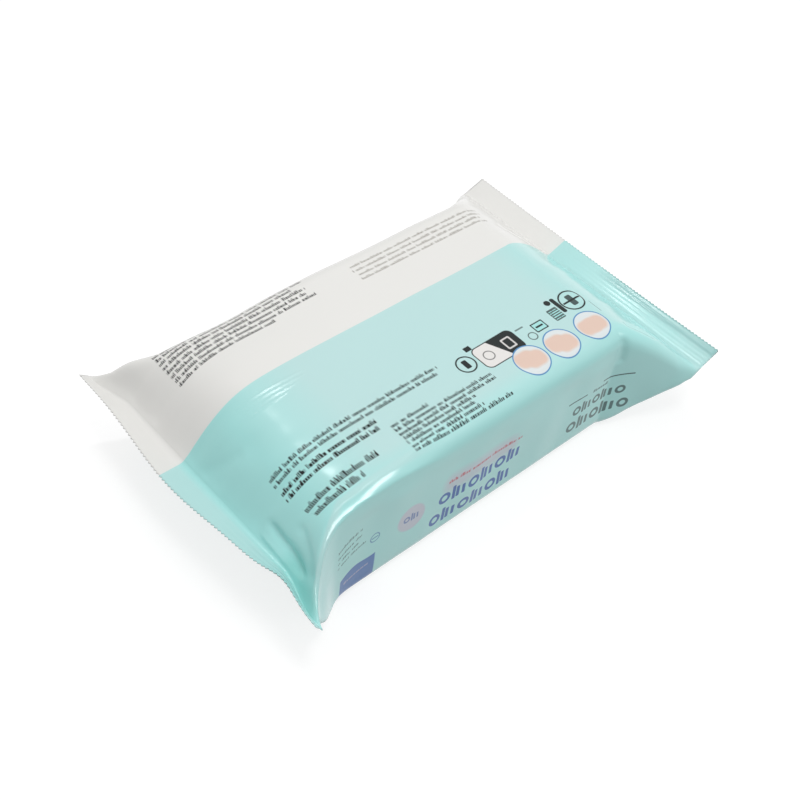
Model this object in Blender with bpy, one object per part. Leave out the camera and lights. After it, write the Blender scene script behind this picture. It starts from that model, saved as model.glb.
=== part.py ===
# Wet wipes pack: a flow-wrapped film pack lying face down, back side up.
# Units are metres, Z is up, the pack's length runs along X and its width along Y.
# The film is one closed solid: a padded block with two crimped end seals cut in a zig-zag.

import math

import bmesh
import bpy
import numpy as np

# Overall size
PACK_LENGTH = 0.2380
SEAL_WIDTH = 0.1552
BLOCK_WIDTH = 0.1105
BLOCK_HEIGHT = 0.0600
BLOCK_SHIFT_Y = -0.0015
SEAL_HEIGHT = 0.0305
FILM_EDGE = 0.0008

# End seals
LEFT_SEAL_DEPTH = 0.0085
RIGHT_SEAL_DEPTH = 0.0125
LEFT_SEAL_TILT = 20.0
RIGHT_SEAL_TILT = 21.0
TOOTH_PITCH = 0.0020
TOOTH_DEPTH = 0.0008
CRIMP_COUNT = 4
CRIMP_HEIGHT = 0.00022
CRIMP_START = 0.30
CRIMP_END = 0.86

# Shape of the end slopes
LEFT_TOP_EASE = 0.018
RIGHT_TOP_RUN = 0.040
RIGHT_TOP_POWER = 1.35
LEFT_BASE_RUN = 0.018
LEFT_BASE_POWER = 1.7
RIGHT_BASE_RUN = 0.040
RIGHT_BASE_POWER = 1.5
EAR_POWER_LEFT_NEAR = 1.7
EAR_POWER_LEFT_FAR = 0.8
EAR_POWER_RIGHT_NEAR = 0.7
EAR_POWER_RIGHT_FAR = 0.8

# Rounding of the padded block
TOP_ROUND = 0.009
BASE_ROUND = 0.006
SIDE_BELLY = 0.0014

# Soft shape of the film
LEFT_SEAL_BOW = 0.0035
LEFT_SEAL_SAG = 0.0030
LEFT_SEAL_BOW_Y = 0.010
LEFT_SEAL_BOW_SPAN = 0.034
LEFT_SEAL_LIFT = 0.0035
LEFT_SEAL_LIFT_Y = -0.057
LEFT_SEAL_LIFT_SPAN = 0.012
LEFT_EAR_PULL_NEAR = 0.0055
LEFT_EAR_PULL_FAR = 0.0042
LEFT_EAR_PULL_SPAN = 0.013
LEFT_RIDGE_SHARPNESS = 0.75
NEAR_CORNER_EASE = 0.012
RIGHT_SEAL_BOW = 0.0008
LEFT_FLARE_NEAR = 0.0080
LEFT_FLARE_PLACE = 0.0090
LEFT_FLARE_SPAN = 0.0075
RIGHT_FLARE_NEAR = 0.0045
RIGHT_FLARE_FAR = 0.0060
RIGHT_FLARE_PLACE = 0.0060
RIGHT_FLARE_SPAN = 0.0060
FLARE_POWER = 1.5
SLOPE_RIPPLE = 0.0004
SLOPE_RIPPLE_PITCH = 0.023
FAR_PUFF = 0.0025
FAR_DIP = 0.0028
CREASE_DEPTH = 0.0016
CREASE_SPAN = 0.014

# Mesh steps
TOP_COLUMNS = 44
BASE_COLUMNS = 26
ROUND_COLUMNS = 4
SIDE_COLUMNS = 4
LEFT_SLOPE_ROWS = 13
RIGHT_SLOPE_ROWS = 11
MIDDLE_ROWS = 6


def ease(value):
    t = np.clip(value, 0.0, 1.0)
    return t * t * (3.0 - 2.0 * t)


def bell(value):
    return np.exp(-value * value)


HALF_LENGTH = PACK_LENGTH / 2.0
LEFT_ROOT_X = -HALF_LENGTH + LEFT_SEAL_DEPTH
RIGHT_ROOT_X = HALF_LENGTH - RIGHT_SEAL_DEPTH
LEFT_SLOPE_LENGTH = LEFT_TOP_EASE * 3.0


def end_shares(x):
    """How far the top and the base have reached full height at x, at either end."""
    left = np.clip(x - LEFT_ROOT_X, 0.0, None)
    right = np.clip(RIGHT_ROOT_X - x, 0.0, None)
    top_left = np.tanh(left / LEFT_TOP_EASE)
    top_right = 1.0 - (1.0 - np.clip(right / RIGHT_TOP_RUN, 0.0, 1.0)) ** RIGHT_TOP_POWER
    base_left = 1.0 - (1.0 - np.clip(left / LEFT_BASE_RUN, 0.0, 1.0)) ** LEFT_BASE_POWER
    base_right = 1.0 - (1.0 - np.clip(right / RIGHT_BASE_RUN, 0.0, 1.0)) ** RIGHT_BASE_POWER
    return top_left, top_right, base_left, base_right


def section_frame(x):
    """Top height, base height, near and far half widths, body share and near ridge round of the section at x."""
    top_left, top_right, base_left, base_right = end_shares(x)
    top_share = top_left * top_right
    base_share = base_left * base_right
    top = SEAL_HEIGHT + FILM_EDGE + (BLOCK_HEIGHT - SEAL_HEIGHT - FILM_EDGE) * top_share
    base = SEAL_HEIGHT * (1.0 - base_share)
    left = 1.0 - (top_left + base_left) / 2.0
    right = 1.0 - (top_right + base_right) / 2.0
    grow = (SEAL_WIDTH - BLOCK_WIDTH) / 2.0
    near = BLOCK_WIDTH / 2.0 + grow * (left ** EAR_POWER_LEFT_NEAR + right ** EAR_POWER_RIGHT_NEAR)
    far = BLOCK_WIDTH / 2.0 + grow * (left ** EAR_POWER_LEFT_FAR + right ** EAR_POWER_RIGHT_FAR)
    sharp = 1.0 - LEFT_RIDGE_SHARPNESS * ease(left * 1.6 - 0.1)
    return top, base, near, far, (top_share + base_share) / 2.0, sharp


def flare(x, y, z, top, base, near, far):
    """The folded gussets beside the seals push the lower film outwards."""
    down = np.clip((top - z) / (top - base), 0.0, 1.0) ** FLARE_POWER
    left = bell((x - LEFT_ROOT_X - LEFT_FLARE_PLACE) / LEFT_FLARE_SPAN)
    right = bell((RIGHT_ROOT_X - x - RIGHT_FLARE_PLACE) / RIGHT_FLARE_SPAN)
    near_out = (LEFT_FLARE_NEAR * left + RIGHT_FLARE_NEAR * right) * np.clip(-y / near, 0.0, 1.0) ** 2
    far_out = RIGHT_FLARE_FAR * right * np.clip(y / far, 0.0, 1.0) ** 2
    return y + (far_out - near_out) * down


def soften(x, y, z, share):
    """Belly of the sides, shift of the block, tilt and bow of the seals, soft ripples, pulled ears."""
    half = SEAL_WIDTH / 2.0
    side = ease(np.abs(y) / (0.9 * BLOCK_WIDTH / 2.0) - 0.1)
    low = np.clip(1.0 - z / BLOCK_HEIGHT, 0.0, 1.0)
    y = y + np.sign(y) * SIDE_BELLY * share * side * low
    y = np.clip(y + BLOCK_SHIFT_Y * share, -half, half)
    left = np.clip((LEFT_ROOT_X - x) / LEFT_SEAL_DEPTH, 0.0, 1.0)
    right = np.clip((x - RIGHT_ROOT_X) / RIGHT_SEAL_DEPTH, 0.0, 1.0)
    z = z + math.tan(math.radians(LEFT_SEAL_TILT)) * left * LEFT_SEAL_DEPTH
    z = z + math.tan(math.radians(RIGHT_SEAL_TILT)) * right * RIGHT_SEAL_DEPTH
    bow = bell((y - LEFT_SEAL_BOW_Y) / LEFT_SEAL_BOW_SPAN) * left
    lift = bell((y - LEFT_SEAL_LIFT_Y) / LEFT_SEAL_LIFT_SPAN) * left
    z = z - LEFT_SEAL_SAG * bow + LEFT_SEAL_LIFT * lift
    slope = np.tanh(np.clip(x - LEFT_ROOT_X, 0.0, None) / LEFT_TOP_EASE)
    upper = ease((z - SEAL_HEIGHT) / (0.2 * BLOCK_HEIGHT))
    turn = y * 2.0 * math.pi / SLOPE_RIPPLE_PITCH
    ripple = np.sin(turn + 0.6) + 0.6 * np.sin(1.7 * turn + 2.0)
    inside = ease(2.0 - 2.0 * np.abs(y) / half)
    z = z + SLOPE_RIPPLE * ripple * 4.0 * slope * (1.0 - slope) * upper * inside
    puff = bell((x - LEFT_ROOT_X - 0.4 * LEFT_TOP_EASE) / (0.45 * LEFT_TOP_EASE))
    dip = bell((x - LEFT_ROOT_X - 2.4 * LEFT_TOP_EASE) / (1.5 * LEFT_TOP_EASE))
    far_side = ease((y / half - 0.3) * 2.5)
    z = z + FAR_PUFF * puff * ease((y / half - 0.5) * 2.5) * upper
    z = z - FAR_DIP * dip * far_side * ease((z - SEAL_HEIGHT) / (0.3 * BLOCK_HEIGHT))
    corner = np.tanh(np.clip(x - LEFT_ROOT_X, 0.0, None) / NEAR_CORNER_EASE) - slope
    z = z + (BLOCK_HEIGHT - SEAL_HEIGHT) * corner * ease((-y / half - 0.52) * 5.0) * upper
    crease = bell((x - LEFT_ROOT_X) / (0.3 * CREASE_SPAN)) * bell((y + 0.8 * half) / CREASE_SPAN)
    z = z - CREASE_DEPTH * crease
    x = x - LEFT_SEAL_BOW * bow + LEFT_SEAL_BOW * 0.6 * lift
    inward = bell((x - LEFT_ROOT_X) / LEFT_EAR_PULL_SPAN)
    fade = np.where(x < LEFT_ROOT_X, np.clip((x + HALF_LENGTH) / LEFT_SEAL_DEPTH, 0.0, 1.0), inward)
    pull_near = LEFT_EAR_PULL_NEAR * ease((-y / half - 0.62) * 3.0)
    pull_far = LEFT_EAR_PULL_FAR * ease((y / half - 0.67) * 3.5)
    x = x - fade * (pull_near + pull_far)
    x = x - RIGHT_SEAL_BOW * right * (1.0 - (y / half) ** 2)
    return x, y, z


def spread(low, high, count):
    """Evenly spaced values from low up to but not including high."""
    return low + (high - low) * np.arange(count) / count


def ring_points(x):
    """One closed section: top, far side, base and near side, always the same columns."""
    top, base, near, far, share, sharp = [float(v) for v in section_frame(np.array(x))]
    height = top - base
    far_round = min(TOP_ROUND, height * 0.45)
    near_round = far_round * sharp
    base_round = min(BASE_ROUND, height * 0.45)
    quarter = spread(0.0, math.pi / 2.0, ROUND_COLUMNS)
    ys = [spread(-near + near_round, far - far_round, TOP_COLUMNS)]
    zs = [np.full(TOP_COLUMNS, top)]
    ys.append(far - far_round + far_round * np.sin(quarter))
    zs.append(top - far_round + far_round * np.cos(quarter))
    ys.append(np.full(SIDE_COLUMNS, far))
    zs.append(spread(top - far_round, base + base_round, SIDE_COLUMNS))
    ys.append(far - base_round + base_round * np.cos(quarter))
    zs.append(base + base_round - base_round * np.sin(quarter))
    ys.append(spread(far - base_round, -near + base_round, BASE_COLUMNS))
    zs.append(np.full(BASE_COLUMNS, base))
    ys.append(-near + base_round - base_round * np.sin(quarter))
    zs.append(base + base_round - base_round * np.cos(quarter))
    ys.append(np.full(SIDE_COLUMNS, -near))
    zs.append(spread(base + base_round, top - near_round, SIDE_COLUMNS))
    ys.append(-near + near_round - near_round * np.cos(quarter))
    zs.append(top - near_round + near_round * np.sin(quarter))
    y = np.concatenate(ys)
    z = np.concatenate(zs)
    y = flare(x, y, z, top, base, near, far)
    return soften(np.full(len(y), float(x)), y, z, share)


def seal_points(x, columns, upper, lift):
    """One straight row of points across a seal, on its upper or its lower film."""
    half = SEAL_WIDTH / 2.0
    y = np.linspace(-half, half, columns + 1)
    z = np.full(columns + 1, SEAL_HEIGHT + (FILM_EDGE if upper else 0.0) + lift)
    return soften(np.full(columns + 1, float(x)), y, z, 0.0)


def tooth_points(outer_x, inner_x, upper):
    """The zig-zag outer edge: even points are the notches, odd points the tips."""
    half = SEAL_WIDTH / 2.0
    teeth = max(8, int(round(SEAL_WIDTH / TOOTH_PITCH)))
    y = np.linspace(-half, half, teeth * 2 + 1)
    swing = np.arange(teeth * 2 + 1) % 2
    x = np.where(swing == 0, inner_x, outer_x)
    z = np.full(len(y), SEAL_HEIGHT + (FILM_EDGE if upper else 0.0))
    return soften(x, y, z, 0.0)


def add_points(mesh, points):
    return [mesh.verts.new(tuple(float(c) for c in p)) for p in zip(*points)]


def add_face(mesh, corners):
    """Add a face, leaving out corners that have run together."""
    kept = []
    for vert in corners:
        if vert not in kept:
            kept.append(vert)
    if len(kept) > 2:
        mesh.faces.new(kept)


def join_rows(mesh, row_a, row_b, flip):
    """Join two rows of different counts with triangles, side by side along their shares."""
    i = 0
    j = 0
    while i < len(row_a) - 1 or j < len(row_b) - 1:
        share_a = (i + 1) / (len(row_a) - 1)
        share_b = (j + 1) / (len(row_b) - 1)
        if j == len(row_b) - 1 or (i < len(row_a) - 1 and share_a <= share_b):
            corners = [row_a[i], row_a[i + 1], row_b[j]]
            i += 1
        else:
            corners = [row_a[i], row_b[j + 1], row_b[j]]
            j += 1
        add_face(mesh, corners[::-1] if flip else corners)


def root_ring(mesh, x):
    """The section where a seal starts: the sides have closed up to the film edge."""
    top = add_points(mesh, seal_points(x, TOP_COLUMNS, True, 0.0))
    base = add_points(mesh, seal_points(x, BASE_COLUMNS, False, 0.0))
    half_side = ROUND_COLUMNS + SIDE_COLUMNS // 2
    ring = list(top)
    ring += [top[-1]] * (half_side - 1)
    ring += [base[-1]] * (SIDE_COLUMNS + 2 * ROUND_COLUMNS - half_side)
    ring += base[::-1]
    ring += [base[0]] * (SIDE_COLUMNS + 2 * ROUND_COLUMNS - half_side - 1)
    ring += [top[0]] * half_side
    return ring, top, base


def build_seal(mesh, top_row, base_row, root_x, outer_x, flip):
    """Crimped film from the root of the seal to its zig-zag cut edge."""
    depth = outer_x - root_x
    steps = CRIMP_COUNT * 2
    rows_top = [top_row]
    rows_base = [base_row]
    for k in range(steps + 1):
        share = CRIMP_START + (CRIMP_END - CRIMP_START) * k / steps
        lift = CRIMP_HEIGHT * (1.0 if k % 2 else -1.0)
        x = root_x + depth * share * (1.0 - TOOTH_DEPTH / abs(depth))
        rows_top.append(add_points(mesh, seal_points(x, TOP_COLUMNS, True, lift)))
        rows_base.append(add_points(mesh, seal_points(x, BASE_COLUMNS, False, lift)))
    for rows, turned in ((rows_top, flip), (rows_base, not flip)):
        for a, b in zip(rows[:-1], rows[1:]):
            for j in range(len(a) - 1):
                corners = [a[j], b[j], b[j + 1], a[j + 1]]
                add_face(mesh, corners[::-1] if turned else corners)
    inner = outer_x - math.copysign(TOOTH_DEPTH, depth)
    edge_top = add_points(mesh, tooth_points(outer_x, inner, True))
    edge_base = add_points(mesh, tooth_points(outer_x, inner, False))
    join_rows(mesh, rows_top[-1], edge_top[::2], not flip)
    join_rows(mesh, rows_base[-1], edge_base[::2], flip)
    for k in range(0, len(edge_top) - 1, 2):
        upper = [edge_top[k], edge_top[k + 1], edge_top[k + 2]]
        lower = [edge_base[k], edge_base[k + 1], edge_base[k + 2]]
        add_face(mesh, upper[::-1] if flip else upper)
        add_face(mesh, lower if flip else lower[::-1])
    for j in range(len(edge_top) - 1):
        corners = [edge_top[j], edge_base[j], edge_base[j + 1], edge_top[j + 1]]
        add_face(mesh, corners[::-1] if flip else corners)
    tops = rows_top + [edge_top]
    bases = rows_base + [edge_base]
    for k in range(len(tops) - 1):
        near = [tops[k][0], bases[k][0], bases[k + 1][0], tops[k + 1][0]]
        far = [tops[k][-1], tops[k + 1][-1], bases[k + 1][-1], bases[k][-1]]
        add_face(mesh, near[::-1] if flip else near)
        add_face(mesh, far[::-1] if flip else far)


def station_list():
    """Positions of the sections between the two seals, closer together on the slopes."""
    left_end = LEFT_ROOT_X + min(LEFT_SLOPE_LENGTH, 0.45 * PACK_LENGTH)
    right_end = RIGHT_ROOT_X - min(RIGHT_TOP_RUN * 1.05, 0.4 * PACK_LENGTH)
    left = (np.arange(1, LEFT_SLOPE_ROWS + 1) / LEFT_SLOPE_ROWS) ** 1.5
    left = LEFT_ROOT_X + (left_end - LEFT_ROOT_X) * left
    middle = np.linspace(left_end, right_end, MIDDLE_ROWS + 1)[1:]
    right = (np.arange(1, RIGHT_SLOPE_ROWS + 1) / RIGHT_SLOPE_ROWS) ** 1.2
    right = RIGHT_ROOT_X + (right_end - RIGHT_ROOT_X) * right[::-1]
    return list(left) + list(middle) + list(right[1:])


def film_material():
    material = bpy.data.materials.new("printed_film")
    material.use_nodes = True
    shader = material.node_tree.nodes["Principled BSDF"]
    shader.inputs["Base Color"].default_value = (0.52, 0.77, 0.76, 1.0)
    shader.inputs["Roughness"].default_value = 0.32
    return material


def build_pack():
    mesh = bmesh.new()
    left_ring, left_top, left_base = root_ring(mesh, LEFT_ROOT_X)
    rings = [left_ring]
    for x in station_list():
        rings.append(add_points(mesh, ring_points(x)))
    right_ring, right_top, right_base = root_ring(mesh, RIGHT_ROOT_X)
    rings.append(right_ring)
    count = len(left_ring)
    for a, b in zip(rings[:-1], rings[1:]):
        for j in range(count):
            k = (j + 1) % count
            add_face(mesh, [a[j], b[j], b[k], a[k]])
    build_seal(mesh, left_top, left_base, LEFT_ROOT_X, -HALF_LENGTH, True)
    build_seal(mesh, right_top, right_base, RIGHT_ROOT_X, HALF_LENGTH, False)
    bmesh.ops.triangulate(mesh, faces=list(mesh.faces))
    xs = [v.co.x for v in mesh.verts]
    ys = [v.co.y for v in mesh.verts]
    zs = [v.co.z for v in mesh.verts]
    shift = (-(min(xs) + max(xs)) / 2.0, -(min(ys) + max(ys)) / 2.0, -min(zs))
    bmesh.ops.translate(mesh, verts=list(mesh.verts), vec=shift)
    data = bpy.data.meshes.new("wipes_pack")
    mesh.to_mesh(data)
    mesh.free()
    for face in data.polygons:
        face.use_smooth = True
    data.materials.append(film_material())
    pack = bpy.data.objects.new("wipes_pack", data)
    bpy.context.scene.collection.objects.link(pack)
    return pack


for old in list(bpy.data.objects):
    bpy.data.objects.remove(old, do_unlink=True)

build_pack()
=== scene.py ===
"""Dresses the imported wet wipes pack: its printed film, its crimped end seals and a plain studio."""

import math

import bpy
import numpy as np
from mathutils import Matrix, Vector


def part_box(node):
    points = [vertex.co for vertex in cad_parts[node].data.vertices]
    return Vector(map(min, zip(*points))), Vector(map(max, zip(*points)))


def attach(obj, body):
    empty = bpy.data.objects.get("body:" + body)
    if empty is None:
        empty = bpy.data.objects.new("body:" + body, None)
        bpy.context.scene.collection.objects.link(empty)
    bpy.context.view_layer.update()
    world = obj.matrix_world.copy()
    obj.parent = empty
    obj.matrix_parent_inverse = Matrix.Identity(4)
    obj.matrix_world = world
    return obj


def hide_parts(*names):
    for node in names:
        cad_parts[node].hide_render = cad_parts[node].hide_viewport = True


bl_info = {
    "name": "Wet wipes pack",
    "version": (1, 0, 0),
    "blender": (4, 5, 0),
    "location": "View3D > Sidebar > Wipes pack",
    "description": "Makes the printed film of a wet wipes pack, its end seals and a plain studio",
    "category": "Object",
}

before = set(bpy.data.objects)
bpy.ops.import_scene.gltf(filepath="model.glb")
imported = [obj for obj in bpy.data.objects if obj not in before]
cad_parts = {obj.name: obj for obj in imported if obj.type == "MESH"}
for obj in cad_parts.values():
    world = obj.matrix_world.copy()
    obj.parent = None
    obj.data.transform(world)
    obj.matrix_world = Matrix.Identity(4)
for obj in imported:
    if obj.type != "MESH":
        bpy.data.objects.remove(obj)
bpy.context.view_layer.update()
NODE_LOW, NODE_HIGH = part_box("wipes_pack")

PER_METRE = 1000.0

# Rings along X: how many, over which run in metres, and how they crowd towards the seals
ROWS_PER_CRIMP = 7.0
CUT_MARGIN = 0.0002
LEFT_RINGS = 66
LEFT_RINGS_RUN = 0.058
LEFT_RINGS_POWER = 1.35
MIDDLE_RINGS = 46
RIGHT_RINGS = 54
RIGHT_RINGS_RUN = 0.042
RIGHT_RINGS_POWER = 1.15

# How top and base rise to full height behind the seals, in metres
LEFT_TOP_EASE = 0.018
RIGHT_TOP_RUN = 0.040
RIGHT_TOP_POWER = 1.35
LEFT_BASE_RUN = 0.018
LEFT_BASE_POWER = 1.7
RIGHT_BASE_RUN = 0.040
RIGHT_BASE_POWER = 1.5

# How the width grows to the seals', and the rounds of the section, pinched along the left of the near edge
EAR_POWER_LEFT_NEAR = 1.7
EAR_POWER_LEFT_FAR = 0.8
EAR_POWER_RIGHT_NEAR = 0.7
EAR_POWER_RIGHT_FAR = 0.8
TOP_ROUND = 0.009
BASE_ROUND = 0.006
MOST_ROUND = 0.45
PINCH_END = 0.080
PINCH_FADE = 0.035
PINCH_SHARE = 0.62
PINCH_BEVEL = 0.8
SIDE_BELLY = 0.0014

# Gussets that flare out beside the seals
LEFT_FLARE_NEAR = 0.0080
LEFT_FLARE_PLACE = 0.0090
LEFT_FLARE_SPAN = 0.0075
RIGHT_FLARE_NEAR = 0.0045
RIGHT_FLARE_FAR = 0.0060
RIGHT_FLARE_PLACE = 0.0060
RIGHT_FLARE_SPAN = 0.0060
FLARE_POWER = 1.5

# Tilt of the seals in degrees, then their bow, lift and pulled-out corners in metres
LEFT_SEAL_TILT = 20.0
RIGHT_SEAL_TILT = 21.0
LEFT_SEAL_BOW = 0.0035
LEFT_SEAL_SAG = 0.0030
LEFT_SEAL_BOW_Y = 0.010
LEFT_SEAL_BOW_SPAN = 0.034
LEFT_SEAL_LIFT = 0.0035
LEFT_SEAL_LIFT_OUT = 0.0021
LEFT_SEAL_LIFT_Y = -0.057
LEFT_SEAL_LIFT_SPAN = 0.012
LEFT_EAR_PULL_NEAR = 0.0055
LEFT_EAR_PULL_FAR = 0.0042
LEFT_EAR_PULL_SPAN = 0.013
RIGHT_SEAL_BOW = 0.0008

# Forms beside the left seal: raised near corner, puffed far corner, the hollow behind it and the fold
NEAR_CORNER_EASE = 0.012
FAR_PUFF = 0.0025
FAR_DIP = 0.0028
CREASE_DEPTH = 0.0016
CREASE_SPAN = 0.014

# Crimp lines: how strong they are on the far side, and where they fade to that, in metres from the middle
CRIMP_FAR_SHARE = 0.06
CRIMP_FADE_START = 0.005
CRIMP_FADE_RUN = 0.055

# Soft roots of the seals: passes, share moved in each, and the reach to either side in metres
ROOT_PASSES = 24
ROOT_SHARE = 0.25
LEFT_ROOT_SPAN = 0.0022
RIGHT_ROOT_SPAN = 0.0045

# Wrinkles: middle and span of those on the slopes, and how they fade in behind the seals, in metres
LEFT_SLOPE_SPAN = 0.012
LEFT_SLOPE_FADE = 0.003
RIGHT_SLOPE_SPAN = 0.016
RIGHT_SLOPE_FADE = 0.012
LEFT_SEAL_FADE = 0.002
RIGHT_SEAL_FADE = 0.008

# Soft waves: wavelength along and across in millimetres, phase, and share of the wrinkle height
LEFT_WAVES = ((900.0, 21.0, 0.6, 0.66), (-200.0, 13.7, 2.0, 0.38), (300.0, 8.3, 4.1, 0.18))
RIGHT_WAVES = ((500.0, 26.0, 1.9, 0.45), (-150.0, 15.1, 0.4, 0.27), (200.0, 9.0, 3.0, 0.11))
WIDE_WAVES = (
    (71.0, 93.0, 0.3, 0.25), (49.0, -61.0, 1.7, 0.18), (-113.0, 37.0, 2.9, 0.15), (29.0, 51.0, 5.0, 0.08)
)
SIDE_WAVES = ((38.0, 210.0, 0.8, 0.5), (23.0, -120.0, 2.2, 0.3), (61.0, 45.0, 4.0, 0.5))

# Dents: depth in metres, then middle and spans in millimetres along and across the film
DENTS = ((0.0007, (-97.0, -7.0), (6.5, 6.5)), (0.0009, (-84.0, -51.0), (9.0, 5.0)))

# Creases: start and end along and across the film and width, in millimetres, then share of the crease depth
CREASES = (
    ((-113.5, -34.0), (-121.5, -77.0), 1.9, 1.0),
    ((-119.5, -34.0), (-122.0, -62.0), 1.1, -0.4),
    ((-106.0, -44.0), (-117.0, -66.0), 1.8, 0.3),
    ((68.2, -57.0), (68.8, -70.0), 1.6, 0.35),
    ((-120.0, 4.0), (-102.0, -5.0), 2.6, 0.14),
    ((92.0, -58.0), (76.0, -50.0), 2.2, 0.3),
    ((101.0, 22.0), (84.0, 34.0), 2.6, 0.4),
)

# Fine ridges in the film: spacing, half width and slant, and their height in metres
RIDGE_PITCH = 2.16
RIDGE_HALF = 0.95
RIDGE_SLANT = 0.05
RIDGE_HEIGHT = 0.00013

# Block of small print: where its rows end, their low and high edge, how ragged their ends are, and the seed
SMALL_BLOCK = (
    (-30.5, -36.8, -34.3, 1.7, 20.0),
    (1.2, -41.8, -36.8, -0.8, 21.0),
    (-17.0, -49.3, -41.8, -5.8, 22.0),
    (-0.5, -51.8, -49.3, -13.3, 23.0),
)
PICTURE_DISCS = ((21.5, -42.9), (39.4, -43.4), (58.8, -43.4))

# Two numbers that make the sine of a counted cell look random
CHANCE_STRETCH = 12.99
CHANCE_SCALE = 437.6

# Lamps: width and height, place and aim in metres. One gives no reflection, and one is only a reflection
LAMPS = {
    "key": {"size": (0.22, 0.22), "spot": (-0.1, -0.24, 1.0), "aim": (0.0, 0.0, 0.03)},
    "glint": {"size": (0.50, 0.07), "spot": (0.10, 0.33, 1.0), "aim": (-0.075, 0.005, 0.06)},
    "fill": {"size": (0.50, 0.40), "spot": (0.62, -0.80, 0.28), "aim": (0.0, -0.055, 0.03), "glossy": False},
    "front": {
        "size": (0.70, 0.16), "spot": (0.12, -0.815, 0.60), "aim": (-0.09, -0.055, 0.055), "diffuse": False,
    },
}
FLOOR_HALF = 6.0
FLOOR_GREY = 0.32
FLOOR_GLOW = 0.76
SENSOR_WIDTH = 36.0


def length(name, description, default):
    """A size in metres, shown in the scene's length unit."""
    return bpy.props.FloatProperty(
        name=name, description=description, default=default, unit="LENGTH", subtype="DISTANCE", precision=5
    )


def colour(name, description, default):
    """A colour of the film or of its print."""
    return bpy.props.FloatVectorProperty(
        name=name, description=description, default=default, subtype="COLOR", size=3, min=0.0, max=1.0
    )


def point(name, description, default):
    """A place in the scene, in metres."""
    return bpy.props.FloatVectorProperty(
        name=name, description=description, default=default, subtype="TRANSLATION", unit="LENGTH"
    )


def power(name, description, default):
    """The power of a lamp, in watts."""
    return bpy.props.FloatProperty(name=name, description=description, default=default, unit="POWER")


class PackSizes(bpy.types.PropertyGroup):
    """Sizes of the film pack"""

    length: length("Length", "Pack from notch to notch along X, before the seals bow", 0.238)
    seal_width: length("Seal width", "Width of the flat end seals", NODE_HIGH.y - NODE_LOW.y)
    block_width: length("Block width", "Width of the stack of wipes", 0.1105)
    block_height: length("Block height", "Height of the stack of wipes", NODE_HIGH.z - NODE_LOW.z)
    block_shift: length("Block shift", "How far the stack sits off the seals' middle", -0.0015)
    seal_height: length("Seal height", "Height of the seals' roots over the floor", 0.0309)
    film: length("Film", "Thickness of the two films at the seals", 0.0004)
    left_seal: length("Left seal depth", "Depth of the seal at the steep end", 0.0085)
    right_seal: length("Right seal depth", "Depth of the seal at the gentle end", 0.0125)
    tooth_depth: length("Tooth depth", "Depth of the zig-zag cut", 0.0007)
    crimp_pitch: length("Crimp pitch", "Spacing of the crimp lines", 0.0021)
    crimp_height: length("Crimp height", "Height of the crimp lines", 0.00011)
    wrinkle: length("Wrinkle height", "Height of the soft wrinkles of the film", 0.0004)
    crease: length("Crease depth", "Depth of the sharp creases at the steep end", 0.0022)
    around: bpy.props.IntProperty(
        name="Points around", description="Mesh points round the film, four for each tooth", default=312
    )


class FilmColours(bpy.types.PropertyGroup):
    """Colours of the film and its print, with the light and shade painted on the film"""

    turquoise: colour("Turquoise", "Colour of most of the film, where no painted light or shade is laid", (0.385, 0.755, 0.735))
    # Painted light: a paler turquoise laid where light falls full on the film
    painted_light_turquoise: colour(
        "Painted light turquoise", "Paler turquoise painted where light falls full: the top, the seals and the left near ridge", (0.495, 0.725, 0.715)
    )
    # Painted shade: a darker turquoise for the fold beside the near corner
    painted_fold_shade: colour("Painted shade turquoise", "Turquoise in the fold beside the near corner", (0.2, 0.58, 0.53))
    shade: colour("Shaded turquoise", "Edge of the gentle end's seal", (0.28, 0.52, 0.51))
    off_white: colour("Off-white", "Band along the far side", (0.785, 0.78, 0.755))
    ink: colour("Grey ink", "Small print on the off-white band", (0.03, 0.03, 0.03))
    faint_ink: colour("Faint ink", "Pale print on the off-white band", (0.23, 0.20, 0.17))
    dark_ink: colour("Dark ink", "Print on the turquoise", (0.006, 0.012, 0.012))
    paper: colour("Paper white", "White parts of the symbols", (0.78, 0.76, 0.74))
    pale: colour("Pale", "Ground of the three discs", (0.72, 0.77, 0.78))
    rim_blue: colour("Rim blue", "Rims of the three discs", (0.09, 0.27, 0.52))
    beige: colour("Beige", "Soft shapes in the three discs", (0.75, 0.56, 0.47))
    side_ink: colour("Side grey", "Grey print on the side", (0.03, 0.07, 0.07))
    side_blue: colour("Side blue", "Blue print on the side", (0.035, 0.12, 0.38))
    badge_blue: colour("Badge blue", "Blue badge on the side", (0.04, 0.12, 0.42))
    lilac: colour("Lilac", "Pale disc and halo on the side", (0.56, 0.52, 0.62))
    red: colour("Red", "Thin red print on the side", (0.5, 0.07, 0.1))
    roughness: bpy.props.FloatProperty(
        name="Roughness", description="Roughness of the film's surface", default=0.17, min=0.0, max=1.0
    )
    gloss: bpy.props.FloatProperty(
        name="Gloss", description="Strength of the film's mirror reflection", default=0.34, min=0.0, max=1.0
    )


class StageSettings(bpy.types.PropertyGroup):
    """Camera and light of the studio"""

    camera_place: point("Camera place", "Where the camera stands", (-0.28156, -0.24323, 0.40122))
    camera_aim: point("Camera aim", "Point in the middle of the view", (0.00628, 0.00883, 0.0))
    camera_roll: bpy.props.FloatProperty(
        name="Camera roll", description="Roll of the camera about its line of sight", subtype="ANGLE",
        default=math.radians(9.26),
    )
    lens: bpy.props.FloatProperty(
        name="Lens", description="Focal length on a 36 mm sensor", unit="CAMERA", default=53.96
    )
    key_power: power("Key power", "Power of the lamp over the pack", 1.95)
    glint_power: power("Glint power", "Power of the long lamp over the far side", 2.4)
    fill_power: power("Fill power", "Power of the low lamp that lights the near side", 1.95)
    front_power: power("Front power", "Power of the long lamp in front, seen only as a reflection", 7.0)
    ambient: bpy.props.FloatProperty(
        name="Ambient", description="Strength of the even light all round", default=0.60, min=0.0
    )


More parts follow.
